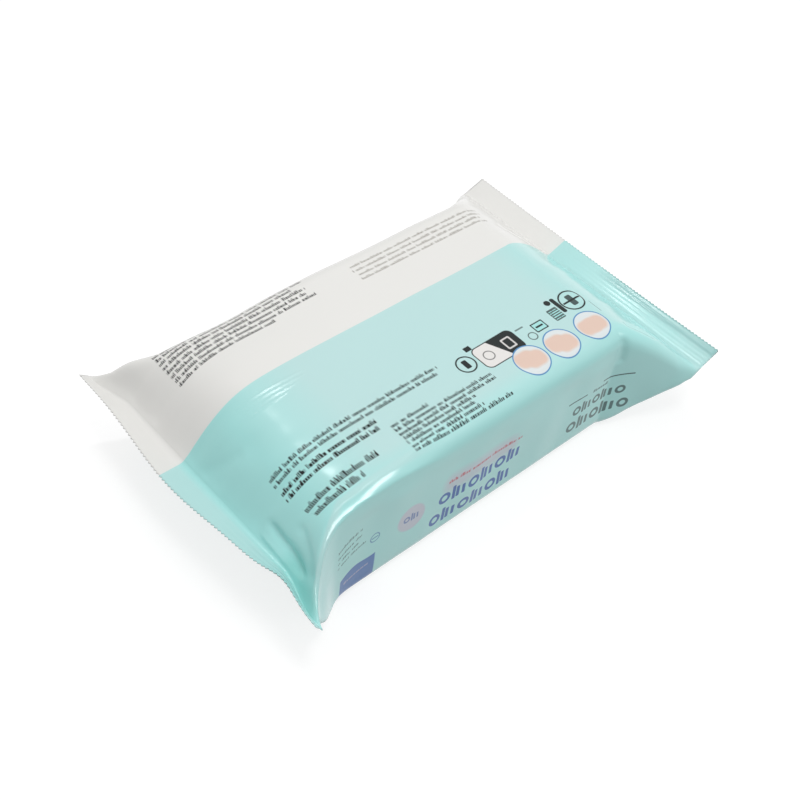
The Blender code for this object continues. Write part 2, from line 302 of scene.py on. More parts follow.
def ease(value):
    """Smooth step: 3 t squared less 2 t cubed, with t held between 0 and 1."""
    t = np.clip(value, 0.0, 1.0)
    return t * t * (3.0 - 2.0 * t)


def bell(value):
    """e to the minus value squared."""
    return np.exp(-value * value)


def rows_along(sizes):
    """Positions of the rings along X: close at the crimps and slopes, wide in the middle.

    The first and last rows are the zig-zag cut edges, and the next ones the line of the notches.
    """
    half = sizes.length / 2.0
    left = -half + sizes.left_seal
    right = half - sizes.right_seal
    tooth = sizes.tooth_depth
    step = sizes.crimp_pitch / ROWS_PER_CRIMP
    left_share = np.linspace(0.0, 1.0, LEFT_RINGS) ** LEFT_RINGS_POWER
    right_share = np.linspace(1.0, 0.0, RIGHT_RINGS) ** RIGHT_RINGS_POWER
    parts = [
        np.array([-half]),
        np.arange(-half + tooth + CUT_MARGIN, left - step, step),
        left + LEFT_RINGS_RUN * left_share,
        np.linspace(left + LEFT_RINGS_RUN, right - RIGHT_RINGS_RUN, MIDDLE_RINGS)[1:-1],
        right - RIGHT_RINGS_RUN * right_share,
        np.arange(right + step, half - tooth - CUT_MARGIN, step),
        np.array([half]),
    ]
    return np.concatenate(parts)[:, None], left, right


def end_shares(x, left, right):
    """How far top and base have reached full height at x.

    Left top: tanh of the way in over its ease. Others: 1 - (1 - way / run) to a power.
    """
    into_left = np.clip(x - left, 0.0, None)
    into_right = np.clip(right - x, 0.0, None)
    top_left = np.tanh(into_left / LEFT_TOP_EASE)
    top_right = 1.0 - (1.0 - np.clip(into_right / RIGHT_TOP_RUN, 0.0, 1.0)) ** RIGHT_TOP_POWER
    base_left = 1.0 - (1.0 - np.clip(into_left / LEFT_BASE_RUN, 0.0, 1.0)) ** LEFT_BASE_POWER
    base_right = 1.0 - (1.0 - np.clip(into_right / RIGHT_BASE_RUN, 0.0, 1.0)) ** RIGHT_BASE_POWER
    return top_left, top_right, base_left, base_right


def section(q, half_width, top, base, top_round, base_round, bevel):
    """A rounded rectangle walked at even steps: q is 0 at the top's middle and 1 at the base's.

    The way s = q times the half outline is spent in turn on the flat top, the top round,
    the side, the base round and the base. On the top round, sine and cosine are taken to the
    power bevel: 1 is a circle, 2 a straight bevel. Returns y, z and s.
    """
    flat = half_width - top_round
    round_top = top_round * math.pi / 2.0
    side = top - base - top_round - base_round
    round_base = base_round * math.pi / 2.0
    total = flat + round_top + side + round_base + half_width - base_round
    s = np.abs(q) * total
    on_flat = np.clip(s, 0.0, flat)
    a = np.clip(s - flat, 0.0, round_top) / top_round
    on_side = np.clip(s - flat - round_top, 0.0, side)
    b = np.clip(s - flat - round_top - side, 0.0, round_base) / base_round
    on_base = np.clip(s - flat - round_top - side - round_base, 0.0, None)
    y = on_flat + top_round * np.sin(a) ** bevel - base_round * (1.0 - np.cos(b)) - on_base
    z = top - top_round * (1.0 - np.clip(np.cos(a), 0.0, 1.0) ** bevel) - on_side - base_round * np.sin(b)
    return np.sign(q) * y, z, np.sign(q) * s


def film_shape(sizes):
    """The whole film as a grid: rows along X, columns round the section.

    Each ring is a rounded rectangle whose height shrinks to the film's at the seals while
    its width grows to the seal's. The seals are then tilted, bowed and crimped.
    Returns x, y, z and the film's own along and across coordinates, all in metres.
    """
    count = sizes.around
    q = (np.arange(count + 1) * 2.0 / count - 1.0)[None, :]
    x, left, right = rows_along(sizes)
    half = sizes.seal_width / 2.0
    top_left, top_right, base_left, base_right = end_shares(x, left, right)
    top_share = top_left * top_right
    base_share = base_left * base_right
    seal = sizes.seal_height
    rise = sizes.block_height - seal - sizes.film / 2.0
    top = seal + sizes.film / 2.0 + rise * top_share
    base = (seal - sizes.film / 2.0) * (1.0 - base_share)
    out_left = 1.0 - (top_left + base_left) / 2.0
    out_right = 1.0 - (top_right + base_right) / 2.0
    grow = (sizes.seal_width - sizes.block_width) / 2.0
    ear_near = out_left ** EAR_POWER_LEFT_NEAR + out_right ** EAR_POWER_RIGHT_NEAR
    ear_far = out_left ** EAR_POWER_LEFT_FAR + out_right ** EAR_POWER_RIGHT_FAR
    near = sizes.block_width / 2.0 + grow * ear_near
    far = sizes.block_width / 2.0 + grow * ear_far
    pinch = np.where(q < 0.0, ease((PINCH_END - np.clip(x - left, 0.0, None)) / PINCH_FADE), 0.0)
    top_round = np.minimum(TOP_ROUND, (top - base) * MOST_ROUND) * (1.0 - PINCH_SHARE * pinch)
    base_round = np.minimum(BASE_ROUND, (top - base) * MOST_ROUND)
    half_width = np.where(q < 0.0, near, far)
    y, z, across = section(q, half_width, top, base, top_round, base_round, 1.0 + PINCH_BEVEL * pinch)
    x = x + 0.0 * q
    down = np.clip((top - z) / (top - base), 0.0, 1.0) ** FLARE_POWER
    flare_left = bell((x - left - LEFT_FLARE_PLACE) / LEFT_FLARE_SPAN)
    flare_right = bell((right - x - RIGHT_FLARE_PLACE) / RIGHT_FLARE_SPAN)
    near_out = LEFT_FLARE_NEAR * flare_left + RIGHT_FLARE_NEAR * flare_right
    near_out = near_out * np.clip(-y / near, 0.0, 1.0) ** 2
    far_out = RIGHT_FLARE_FAR * flare_right * np.clip(y / far, 0.0, 1.0) ** 2
    y = y + (far_out - near_out) * down
    share = (top_share + base_share) / 2.0
    side = ease(np.abs(y) / (0.9 * sizes.block_width / 2.0) - 0.1)
    low = np.clip(1.0 - z / sizes.block_height, 0.0, 1.0)
    y = y + np.sign(y) * SIDE_BELLY * share * side * low + sizes.block_shift * share
    y = np.clip(y, -half, half)
    step = np.hypot(np.diff(x[:, :1], axis=0), np.diff(top, axis=0))
    along = np.concatenate([[[0.0]], np.cumsum(step, axis=0)])
    along = along - np.interp(0.0, x[:, 0], along[:, 0]) + 0.0 * q
    into = np.clip((left - x) / sizes.left_seal, 0.0, 1.0)
    outo = np.clip((x - right) / sizes.right_seal, 0.0, 1.0)
    z = z + math.tan(math.radians(LEFT_SEAL_TILT)) * into * sizes.left_seal
    z = z + math.tan(math.radians(RIGHT_SEAL_TILT)) * outo * sizes.right_seal
    bow = bell((y - LEFT_SEAL_BOW_Y) / LEFT_SEAL_BOW_SPAN) * into
    lift = bell((y - LEFT_SEAL_LIFT_Y) / LEFT_SEAL_LIFT_SPAN) * into
    z = z - LEFT_SEAL_SAG * bow + LEFT_SEAL_LIFT * lift
    z = left_end_forms(x - left, y, z, half, rise, seal)
    z = soft_roots(x, z, left, right)
    teeth = np.arange(count + 1) % 2
    for row, way in ((0, 1.0), (-1, -1.0)):
        x[row] = x[row] + way * sizes.tooth_depth * (teeth == (count // 4) % 2)
    z = z + crimp_lines(x, y, into, outo, sizes)
    x = x - LEFT_SEAL_BOW * bow + LEFT_SEAL_LIFT_OUT * lift
    over_seal = np.clip((x + sizes.length / 2.0) / sizes.left_seal, 0.0, 1.0)
    pull = np.where(x < left, over_seal, bell((x - left) / LEFT_EAR_PULL_SPAN))
    near_pull = LEFT_EAR_PULL_NEAR * ease((-y / half - 0.62) * 3.0)
    far_pull = LEFT_EAR_PULL_FAR * ease((y / half - 0.67) * 3.5)
    x = x - pull * (near_pull + far_pull)
    x = x - RIGHT_SEAL_BOW * outo * (1.0 - (y / half) ** 2)
    return x, y, z, along, across


def left_end_forms(way, y, z, half, rise, seal):
    """Heights with the forms beside the left seal, where way is the way in from its root.

    The puff, the hollow and the fold are bells along the way. The near corner is raised by the
    difference of two tanh curves of the way.
    """
    into = np.clip(way, 0.0, None)
    side = y / half
    upper = ease((z - seal) / 0.012)
    puff = bell((way - 0.4 * LEFT_TOP_EASE) / (0.45 * LEFT_TOP_EASE))
    dip = bell((way - 2.4 * LEFT_TOP_EASE) / (1.5 * LEFT_TOP_EASE))
    z = z + FAR_PUFF * puff * ease((side - 0.5) * 2.5) * upper
    z = z - FAR_DIP * dip * ease((side - 0.3) * 2.5) * ease((z - seal) / 0.018)
    corner = np.tanh(into / NEAR_CORNER_EASE) - np.tanh(into / LEFT_TOP_EASE)
    z = z + rise * corner * ease((-side - 0.52) * 5.0) * upper
    fold = bell(way / (0.3 * CREASE_SPAN)) * bell((y + 0.8 * half) / CREASE_SPAN)
    return z - CREASE_DEPTH * fold


def crimp_lines(x, y, into, outo, sizes):
    """Height of the crimp lines: a sine along X over each seal, faint on the far side of the pack."""
    band = ease(into * 8.0 - 1.2) * ease((1.0 - into) * 8.0 - 0.9)
    band = band + ease(outo * 8.0 - 1.2) * ease((1.0 - outo) * 8.0 - 0.9)
    near = ease((-y - CRIMP_FADE_START) / CRIMP_FADE_RUN)
    near = CRIMP_FAR_SHARE + (1.0 - CRIMP_FAR_SHARE) * near
    turn = x * 2.0 * math.pi / sizes.crimp_pitch
    return sizes.crimp_height * np.sin(turn) * band * near


def soft_roots(x, z, left, right):
    """Rounds the kink at both seal roots: each height moves towards the mean of the next rings' heights."""
    near = bell((x - left) / LEFT_ROOT_SPAN) + bell((x - right) / RIGHT_ROOT_SPAN)
    near = (near + 0.0 * z)[1:-1]
    for _ in range(ROOT_PASSES):
        z[1:-1] = z[1:-1] + ROOT_SHARE * near * (z[:-2] - 2.0 * z[1:-1] + z[2:])
    return z


def waves(along, across, turns):
    """A sum of sines: each turn is (wavelength along, wavelength across, phase, height)."""
    total = 0.0
    for length_a, length_b, phase, height in turns:
        turn = 2.0 * math.pi * (along / length_a + across / length_b)
        total = total + height * np.sin(turn + phase)
    return total


def crease_line(along, across, start, end, width):
    """1 on the straight line from start to end, falling off as a bell over the width, eased at its ends."""
    run = np.array(end) - np.array(start)
    size = float(np.hypot(*run))
    da = along - start[0]
    dc = across - start[1]
    t = (da * run[0] + dc * run[1]) / size**2
    off = (da * run[1] - dc * run[0]) / size
    return bell(off / width) * ease(t * 5.0 + 0.5) * ease((1.0 - t) * 5.0 + 0.5)


def wrinkle_height(along, across, z, x, sizes):
    """Height of the wrinkles over the film, in metres: soft waves and folds, then dents and creases.

    Places are film coordinates in millimetres, along and across.
    """
    left = -sizes.length / 2.0 + sizes.left_seal
    right = sizes.length / 2.0 - sizes.right_seal
    a = along * PER_METRE
    c = across * PER_METRE
    slope_l = bell((x - left) / LEFT_SLOPE_SPAN - 1.0) * ease((x - left) / LEFT_SLOPE_FADE)
    slope_r = bell((right - x) / RIGHT_SLOPE_SPAN - 1.0) * ease((right - x) / RIGHT_SLOPE_FADE)
    middle = ease((70.0 - np.abs(c)) / 20.0)
    side = ease((-c - 62.0) / 8.0) * ease((c + 112.0) / 8.0)
    soft = slope_l * middle * waves(a, c, LEFT_WAVES) + slope_r * middle * waves(a, c, RIGHT_WAVES)
    soft = soft + waves(a, c, WIDE_WAVES) + side * waves(a, c, SIDE_WAVES)
    height = sizes.wrinkle * soft
    for depth, spot, span in DENTS:
        height = height - depth * bell((a - spot[0]) / span[0]) * bell((c - spot[1]) / span[1])
    for start, end, width, share in CREASES:
        height = height - sizes.crease * share * crease_line(a, c, start, end, width)
    return height * ease((z - 0.001) / 0.008)


def add_wrinkles(x, y, z, along, across, sizes):
    """Move each point along its normal by the wrinkle height.

    The normal is the cross product of the grid's steps along and round.
    """
    px = np.stack([x, y, z], -1)
    du = np.gradient(px, axis=0)
    dq = np.gradient(px, axis=1)
    first = (px[:, 1] - px[:, -2]) / 2.0
    dq[:, 0] = first
    dq[:, -1] = first
    normal = np.cross(du, dq)
    normal /= np.maximum(np.linalg.norm(normal, axis=-1, keepdims=True), 1e-12)
    height = wrinkle_height(along, across, z, x, sizes)
    height[:, -1] = height[:, 0]
    body = ease((sizes.length / 2.0 - sizes.left_seal + x) / LEFT_SEAL_FADE)
    body = body * ease((sizes.length / 2.0 - sizes.right_seal - x) / RIGHT_SEAL_FADE)
    px = px + normal * (height * body)[..., None]
    return px[..., 0], px[..., 1], px[..., 2]


def film_mesh(name, x, y, z, along, across):
    """Closed mesh of the grid. The last column repeats the first, and each end is shut by a rim strip.

    Rim: top column N/2 + m joins base column N - m, for m from -N/4 to N/4.
    """
    rows, wide = x.shape
    count = wide - 1
    points = np.stack([x[:, :-1], y[:, :-1], z[:, :-1]], -1).reshape(-1, 3)
    i, k = np.meshgrid(np.arange(rows - 1), np.arange(count), indexing="ij")
    k2 = (k + 1) % count
    quads = np.stack([i * count + k, (i + 1) * count + k, (i + 1) * count + k2, i * count + k2], -1)
    grid_uv = np.stack([along, across], -1)
    uv = np.stack([grid_uv[i, k], grid_uv[i + 1, k], grid_uv[i + 1, k + 1], grid_uv[i, k + 1]], -2)
    quads = quads.reshape(-1, 4)
    uv = uv.reshape(-1, 4, 2)
    m = np.arange(-count // 4 + 1, count // 4 - 1)
    rims = []
    caps = []
    for row, flip in ((0, False), (rows - 1, True)):
        a = row * count + count // 2 + m
        b = row * count + (count - m) % count
        b2 = row * count + (count - m - 1) % count
        quad = np.stack([a, a + 1, b2, b], -1)
        rims.append(quad[:, ::-1] if flip else quad)
        for edge in (-count // 4, count // 4 - 1):
            tip = row * count + count // 2 + edge
            pair = [tip, tip + 1]
            back = [row * count + (count - edge) % count, row * count + (count - edge - 1) % count]
            ring = [pair[0], pair[1], back[1]] if edge < 0 else [pair[0], pair[1], back[0]]
            caps.append(ring[::-1] if flip else ring)
    rim = np.concatenate(rims)
    loops = np.concatenate([quads.ravel(), rim.ravel(), np.array(caps).ravel()])
    totals = np.concatenate([np.full(len(quads) + len(rim), 4), np.full(len(caps), 3)])
    starts = np.concatenate([[0], np.cumsum(totals)[:-1]])
    mesh = bpy.data.meshes.new(name)
    mesh.vertices.add(len(points))
    mesh.vertices.foreach_set("co", points.ravel().astype(np.float32))
    mesh.loops.add(len(loops))
    mesh.loops.foreach_set("vertex_index", loops.astype(np.int32))
    mesh.polygons.add(len(totals))
    mesh.polygons.foreach_set("loop_start", starts.astype(np.int32))
    mesh.update(calc_edges=True)
    smooth = np.ones(len(totals), dtype=bool)
    smooth[len(quads):] = False
    mesh.polygons.foreach_set("use_smooth", smooth)
    layer = mesh.uv_layers.new(name="film")
    flat_uv = grid_uv[:, :-1].reshape(-1, 2)
    edge_uv = flat_uv[loops[len(quads) * 4:]]
    layer.data.foreach_set("uv", np.concatenate([uv.reshape(-1, 2), edge_uv]).ravel().astype(np.float32))
    if mesh.validate(verbose=False):
        raise RuntimeError("the film mesh needed repairs")
    return mesh


def calc(tree, operation, *values, clamp=False):
    """One Math node, with a Clamp node after it if asked; each value is a number or a socket."""
    node = tree.nodes.new("ShaderNodeMath")
    node.operation = operation
    for socket, value in zip(node.inputs, values):
        if isinstance(value, (int, float)):
            socket.default_value = value
        else:
            tree.links.new(value, socket)
    if not clamp:
        return node.outputs[0]
    held = tree.nodes.new("ShaderNodeClamp")
    tree.links.new(node.outputs[0], held.inputs["Value"])
    return held.outputs[0]


def inside(tree, value, low, high, soft):
    """1 where value lies between low and high, with edges that are soft wide."""
    way = calc(tree, "MINIMUM", calc(tree, "SUBTRACT", value, low), calc(tree, "SUBTRACT", high, value))
    return calc(tree, "ADD", calc(tree, "DIVIDE", way, soft), 0.5, clamp=True)


def new_group(name, inputs, output="Mask", kind="NodeSocketFloat"):
    """An empty shader node group with float inputs of these names and one output."""
    group = bpy.data.node_groups.new(name, "ShaderNodeTree")
    for title, value in inputs.items():
        socket = group.interface.new_socket(title, in_out="INPUT", socket_type="NodeSocketFloat")
        socket.default_value = value
    group.interface.new_socket(output, in_out="OUTPUT", socket_type=kind)
    return group, group.nodes.new("NodeGroupInput").outputs, group.nodes.new("NodeGroupOutput").inputs


def chance(tree, value):
    """A number between 0 and 1 that looks random: the fraction of a scaled sine of the stretched value."""
    wave = calc(tree, "SINE", calc(tree, "MULTIPLY", value, CHANCE_STRETCH))
    return calc(tree, "FRACT", calc(tree, "MULTIPLY", wave, CHANCE_SCALE))


def broken(tree, value, size, shift, gap):
    """1 with a gap at a random place in each cell of this size, and the cell's number."""
    spot = calc(tree, "DIVIDE", value, size)
    cell = calc(tree, "FLOOR", spot)
    part = calc(tree, "SUBTRACT", spot, cell)
    luck = chance(tree, calc(tree, "ADD", cell, shift))
    place_of_gap = calc(tree, "ADD", calc(tree, "MULTIPLY", luck, 0.7), 0.15)
    off = calc(tree, "ABSOLUTE", calc(tree, "SUBTRACT", part, place_of_gap))
    return inside(tree, calc(tree, "MULTIPLY", off, size), gap, 1000.0, 0.15), cell


def rows_group():
    """Print rows: lines of short dashes of random length, as small print looks from afar."""
    inputs = {
        "Along": 0.0, "Across": 0.0, "From": 0.0, "To": 50.0, "Low": 0.0, "High": 10.0, "Pitch": 2.6,
        "Ink": 0.6, "Ragged": 5.0, "Word": 9.0, "Stroke": 0.8, "Seed": 0.0,
    }
    tree, given, out = new_group("print_rows", inputs)
    line = calc(tree, "DIVIDE", calc(tree, "SUBTRACT", given["Across"], given["Low"]), given["Pitch"])
    row = calc(tree, "FLOOR", line)
    part = calc(tree, "SUBTRACT", line, row)
    shift = calc(tree, "ADD", calc(tree, "MULTIPLY", row, 7.31), given["Seed"])
    cut = calc(tree, "MULTIPLY", given["Ragged"], chance(tree, shift))
    reach = inside(tree, given["Along"], given["From"], calc(tree, "SUBTRACT", given["To"], cut), 0.2)
    lines = inside(tree, given["Across"], given["Low"], given["High"], 0.05)
    words, _ = broken(tree, given["Along"], given["Word"], shift, 0.5)
    strokes, cell = broken(tree, given["Along"], given["Stroke"], calc(tree, "ADD", shift, 0.37), 0.13)
    tall = calc(tree, "GREATER_THAN", chance(tree, calc(tree, "SUBTRACT", cell, shift)), 0.68)
    half = calc(tree, "MULTIPLY", given["Ink"], 0.5)
    top = calc(tree, "MULTIPLY", half, calc(tree, "ADD", calc(tree, "MULTIPLY", tall, 0.7), 0.3))
    band = inside(tree, part, calc(tree, "SUBTRACT", 0.5, half), calc(tree, "ADD", 0.5, top), 0.08)
    block = calc(tree, "MULTIPLY", reach, lines)
    dashes = calc(tree, "MULTIPLY", words, strokes)
    mask = calc(tree, "MULTIPLY", block, dashes)
    tree.links.new(calc(tree, "MULTIPLY", mask, band), out["Mask"])
    return tree


def box_group():
    """Print box: a rectangle with round corners, from the usual distance to a rounded box."""
    inputs = {
        "Along": 0.0, "Across": 0.0, "Middle along": 0.0, "Middle across": 0.0, "Half along": 5.0,
        "Half across": 5.0, "Corner": 1.0, "Soft": 0.25,
    }
    tree, given, out = new_group("print_box", inputs)
    sides = []
    for value, middle, half in (
        ("Along", "Middle along", "Half along"), ("Across", "Middle across", "Half across")
    ):
        way = calc(tree, "ABSOLUTE", calc(tree, "SUBTRACT", given[value], given[middle]))
        sides.append(calc(tree, "SUBTRACT", way, calc(tree, "SUBTRACT", given[half], given["Corner"])))
    outer = [calc(tree, "POWER", calc(tree, "MAXIMUM", side, 0.0), 2.0) for side in sides]
    away = calc(tree, "SQRT", calc(tree, "ADD", *outer))
    within = calc(tree, "MINIMUM", calc(tree, "MAXIMUM", *sides), 0.0)
    distance = calc(tree, "SUBTRACT", calc(tree, "ADD", away, within), given["Corner"])
    edge = calc(tree, "DIVIDE", distance, given["Soft"])
    tree.links.new(calc(tree, "SUBTRACT", 0.5, edge, clamp=True), out["Mask"])
    return tree


class FilmPrint:
    """Lays print on the film: each call mixes one colour over what is there, where its mask is."""

    def __init__(self, tree, along, across, groups):
        self.tree = tree
        self.along = along
        self.across = across
        self.groups = groups
        self.colour = None

    def use(self, kind, **values):
        """What one of the groups puts out, with its named inputs in millimetres."""
        along = values.pop("along", self.along)
        node = self.tree.nodes.new("ShaderNodeGroup")
        node.node_tree = self.groups[kind]
        self.tree.links.new(along, node.inputs["Along"])
        self.tree.links.new(self.across, node.inputs["Across"])
        for name, value in values.items():
            node.inputs[name.replace("_", " ").capitalize()].default_value = value
        return node.outputs[0]

    def box(self, middle, half, corner, soft=0.25, **more):
        """Mask of a rounded box."""
        return self.use(
            "box", middle_along=middle[0], middle_across=middle[1], half_along=half[0], half_across=half[1],
            corner=corner, soft=soft, **more,
        )

    def disc(self, middle, radius, soft=0.25, **more):
        """Mask of a disc."""
        return self.box(middle, (radius, radius), radius, soft, **more)

    def ring(self, middle, radius, line, **more):
        """Mask of a ring: a disc less a smaller one."""
        outer = self.disc(middle, radius, **more)
        return calc(self.tree, "SUBTRACT", outer, self.disc(middle, radius - line, **more), clamp=True)

    def beads(self, along, across, size):
        """Mask of rings and bars in turn, as tall as size, between two places along."""
        pitch = 2.4 * size
        start, end = along
        folded = calc(self.tree, "WRAP", self.along, start + pitch, start)
        total = self.ring((start + 0.55 * size, across), 0.48 * size, 0.24 * size, along=folded)
        for shift, tall in ((1.3, 0.62), (1.62, 0.48), (2.08, 0.42)):
            spot = (start + shift * size, across + (tall - 0.5) * 0.5 * size)
            bar = self.box(spot, (0.13 * size, tall * size), 0.08 * size, along=folded)
            total = calc(self.tree, "MAXIMUM", total, bar)
        return calc(self.tree, "MULTIPLY", total, inside(self.tree, self.along, start, end, 0.3))

    def rows(self, along, across, pitch, **values):
        """Mask of rows of dashes between two ends along and two lines across."""
        start, end = along
        low, high = across
        more = {"from": start, "to": end, "low": low, "high": high, "pitch": pitch}
        return self.use("rows", **more, **values)

    def lay(self, mask, ink, strength=1.0):
        """Mix the ink's colour over the print so far."""
        share = calc(self.tree, "MULTIPLY", mask, strength)
        mix = self.tree.nodes.new("ShaderNodeMix")
        mix.data_type = "RGBA"
        mix.inputs["B"].default_value = (*ink, 1.0)
        self.tree.links.new(share, mix.inputs["Factor"])
        self.tree.links.new(self.colour, mix.inputs["A"])
        self.colour = mix.outputs["Result"]


def lay_white_print(film, colours):
    """Two blocks of small print on the off-white band."""
    block = film.rows((-100.0, -25.0), (39.0, 57.9), 2.7, ink=0.72, ragged=9.0, seed=3.0)
    film.lay(block, colours.ink, 0.95)
    last_row = film.rows((-100.0, -49.0), (36.3, 39.0), 2.7, ink=0.72, ragged=1.0, seed=8.0)
    film.lay(last_row, colours.ink, 0.95)
    faint_block = film.rows((-4.0, 77.0), (31.4, 46.0), 2.92, ink=0.5, ragged=7.0, seed=5.0)
    film.lay(faint_block, colours.faint_ink, 0.75)
    faint_row = film.rows((0.0, 77.0), (27.6, 30.5), 2.9, ink=0.45, ragged=2.0, word=6.0, seed=9.0)
    film.lay(faint_row, colours.faint_ink, 0.6)


def lay_small_print(film, colours):
    """Small print on the turquoise: two pairs of rows, a dotted code in two lines and a block of rows."""
    ink = colours.dark_ink
    thin = film.rows((-102.0, -13.0), (-26.6, -20.8), 2.9, ink=0.72, ragged=4.0, seed=1.0)
    film.lay(thin, ink, 0.95)
    bold = film.rows((-102.0, -52.0), (-34.8, -28.0), 3.4, ink=0.72, ragged=3.0, stroke=1.1, seed=2.0)
    film.lay(bold, ink)
    for end, low, seed in ((-63.0, -44.2, 11.0), (-74.0, -48.6, 12.0)):
        code = film.rows((-100.0, end), (low, low + 4.4), 4.4, ink=0.74, ragged=0.0, word=13.0, seed=seed)
        film.lay(code, ink)
    for end, low, high, ragged, seed in SMALL_BLOCK:
        block = film.rows((-51.0, end), (low, high), 2.5, ink=0.8, ragged=ragged, seed=seed)
        film.lay(block, ink, 0.95)


def lay_symbols(film, colours):
    """Plain symbols: rings, a two-tone label, small boxes and three blue-rimmed discs."""
    tree = film.tree
    ink = colours.dark_ink
    sign = (-2.9, -28.6)
    film.lay(film.ring(sign, 4.7, 0.7), ink)
    film.lay(film.box(sign, (1.3, 2.4), 0.6), ink)
    label = (14.6, -30.2)
    film.lay(film.box(label, (11.6, 6.6), 3.2), ink)
    inner = film.box(label, (11.1, 6.1), 2.8)
    slant = calc(tree, "ADD", film.along, calc(tree, "MULTIPLY", film.across, 0.45))
    left = inside(tree, slant, -100.0, 1.6, 0.3)
    film.lay(calc(tree, "MULTIPLY", inner, left), colours.paper)
    film.lay(film.ring((8.6, -30.4), 2.7, 0.5), ink, 0.8)
    film.lay(film.box((20.6, -30.0), (2.5, 3.2), 0.7), colours.paper, 0.85)
    film.lay(film.box((20.6, -30.0), (1.7, 2.4), 0.4), ink)
    film.lay(film.box((3.6, -22.4), (1.7, 1.3), 0.2), ink)
    film.lay(film.ring((32.0, -33.4), 2.3, 0.5), ink, 0.85)
    film.lay(film.box((30.0, -26.8), (2.4, 0.4), 0.3), ink, 0.7)
    card = (38.8, -30.6)
    film.lay(film.box(card, (3.5, 2.7), 0.4), ink)
    film.lay(film.box(card, (2.9, 2.1), 0.3), colours.turquoise)
    film.lay(film.box(card, (2.1, 0.5), 0.2), ink)
    film.lay(film.box((50.6, -29.6), (2.9, 3.6), 0.6), ink, 0.85)
    lines = film.rows((48.2, 53.4), (-32.8, -26.6), 1.25, ink=0.45, ragged=0.0, word=40.0, stroke=9.0)
    film.lay(lines, colours.turquoise)
    film.lay(film.disc((52.2, -22.6), 1.6), ink)
    film.lay(film.box((55.4, -26.4), (1.1, 5.0), 0.9), ink)
    round_sign = (63.0, -27.4)
    film.lay(film.ring(round_sign, 6.3, 0.8), ink)
    film.lay(film.box(round_sign, (1.6, 3.4), 0.8), ink, 0.9)
    film.lay(film.box(round_sign, (5.2, 0.5), 0.3), ink)
    film.lay(film.box((70.2, -35.4), (0.25, 3.9), 0.2), ink, 0.6)
    for number, middle in enumerate(PICTURE_DISCS):
        film.lay(film.disc(middle, 8.4), colours.rim_blue)
        disc = film.disc(middle, 7.8)
        film.lay(disc, colours.pale)
        for part in range(2):
            spot = (middle[0] + 3.6 * part - 2.0, middle[1] + 0.3 + 1.3 * math.cos(2.1 * part + number))
            shape = film.box(spot, (5.4, 4.3), 3.4, 1.4)
            film.lay(calc(tree, "MULTIPLY", shape, disc), colours.beige)


def lay_side_print(film, colours):
    """The near side's print: plain bars and rings in grey and blue, a pale disc and a blue badge."""
    tree = film.tree
    grey = colours.side_ink
    blue = colours.side_blue
    film.lay(film.box((70.0, -78.2), (8.0, 0.35), 0.3), grey)
    film.lay(film.box((46.0, -80.6), (6.0, 0.35), 0.3), grey)
    plain = {"ragged": 0.0, "word": 30.0}
    marks = film.rows((56.0, 66.0), (-82.6, -79.4), 3.2, ink=0.6, stroke=1.7, seed=31.0, **plain)
    film.lay(marks, grey, 0.7)
    film.lay(film.beads((44.0, 76.0), -87.8, 5.4), grey, 0.85)
    film.lay(film.beads((42.0, 80.0), -97.2, 6.4), grey, 0.85)
    film.lay(film.box((-14.0, -80.5), (21.0, 5.0), 4.6, 5.0), colours.lilac, 0.65)
    line = {"ragged": 0.0, "word": 12.0, "stroke": 1.2}
    film.lay(film.rows((-33.0, 9.5), (-80.6, -77.4), 3.2, ink=0.6, seed=35.0, **line), colours.red, 0.8)
    film.lay(film.beads((-38.0, 10.0), -88.0, 6.8), blue)
    film.lay(film.beads((-42.0, 7.0), -99.4, 6.8), blue)
    film.lay(film.disc((-53.0, -87.4), 7.4, 1.0), colours.lilac, 0.8)
    film.lay(film.beads((-57.6, -48.5), -87.4, 3.8), blue, 0.7)
    block = film.rows((-93.0, -76.0), (-84.4, -72.4), 3.0, ink=0.42, ragged=6.0, word=8.0, seed=41.0)
    film.lay(block, grey, 0.7)
    film.lay(film.ring((-72.4, -85.0), 2.5, 0.5), blue, 0.7)
    film.lay(film.box((-72.4, -85.0), (1.7, 0.3), 0.2), blue, 0.7)
    wave = calc(tree, "SINE", calc(tree, "MULTIPLY", film.along, 0.32))
    low = inside(tree, calc(tree, "ADD", film.across, calc(tree, "MULTIPLY", wave, 0.9)), -112.0, -94.0, 0.5)
    badge = calc(tree, "MULTIPLY", film.box((-81.0, -101.5), (9.4, 9.0), 2.5, 0.5), low)
    film.lay(badge, colours.badge_blue, 0.88)
    bars = film.rows((-88.0, -74.0), (-101.0, -96.4), 4.6, ink=0.34, stroke=2.0, seed=43.0, **plain)
    film.lay(bars, colours.lilac, 0.5)


def streak_group():
    """Fine ridges with straight flanks, nearly along the film, as a height from 0 to 1.

    They lie within a patch whose right end is slanted.
    """
    tree, given, out = new_group("fine_ridges", {"Along": 0.0, "Across": 0.0}, "Height")
    lean = calc(tree, "MULTIPLY", calc(tree, "ADD", given["Along"], 88.0), RIDGE_SLANT)
    over = calc(tree, "SUBTRACT", calc(tree, "ADD", given["Across"], lean), 7.2)
    off = calc(tree, "ABSOLUTE", calc(tree, "WRAP", over, RIDGE_PITCH / 2.0, -RIDGE_PITCH / 2.0))
    ridge = calc(tree, "SUBTRACT", 1.0, calc(tree, "DIVIDE", off, RIDGE_HALF), clamp=True)
    end = calc(tree, "ADD", calc(tree, "MULTIPLY", calc(tree, "MINIMUM", over, 0.0), 2.8), -60.0)
    along_patch = inside(tree, given["Along"], -90.0, end, 3.0)
    patch = calc(tree, "MULTIPLY", along_patch, inside(tree, over, -5.4, 3.4, 0.8))
    tree.links.new(calc(tree, "MULTIPLY", ridge, patch), out["Height"])
    return tree


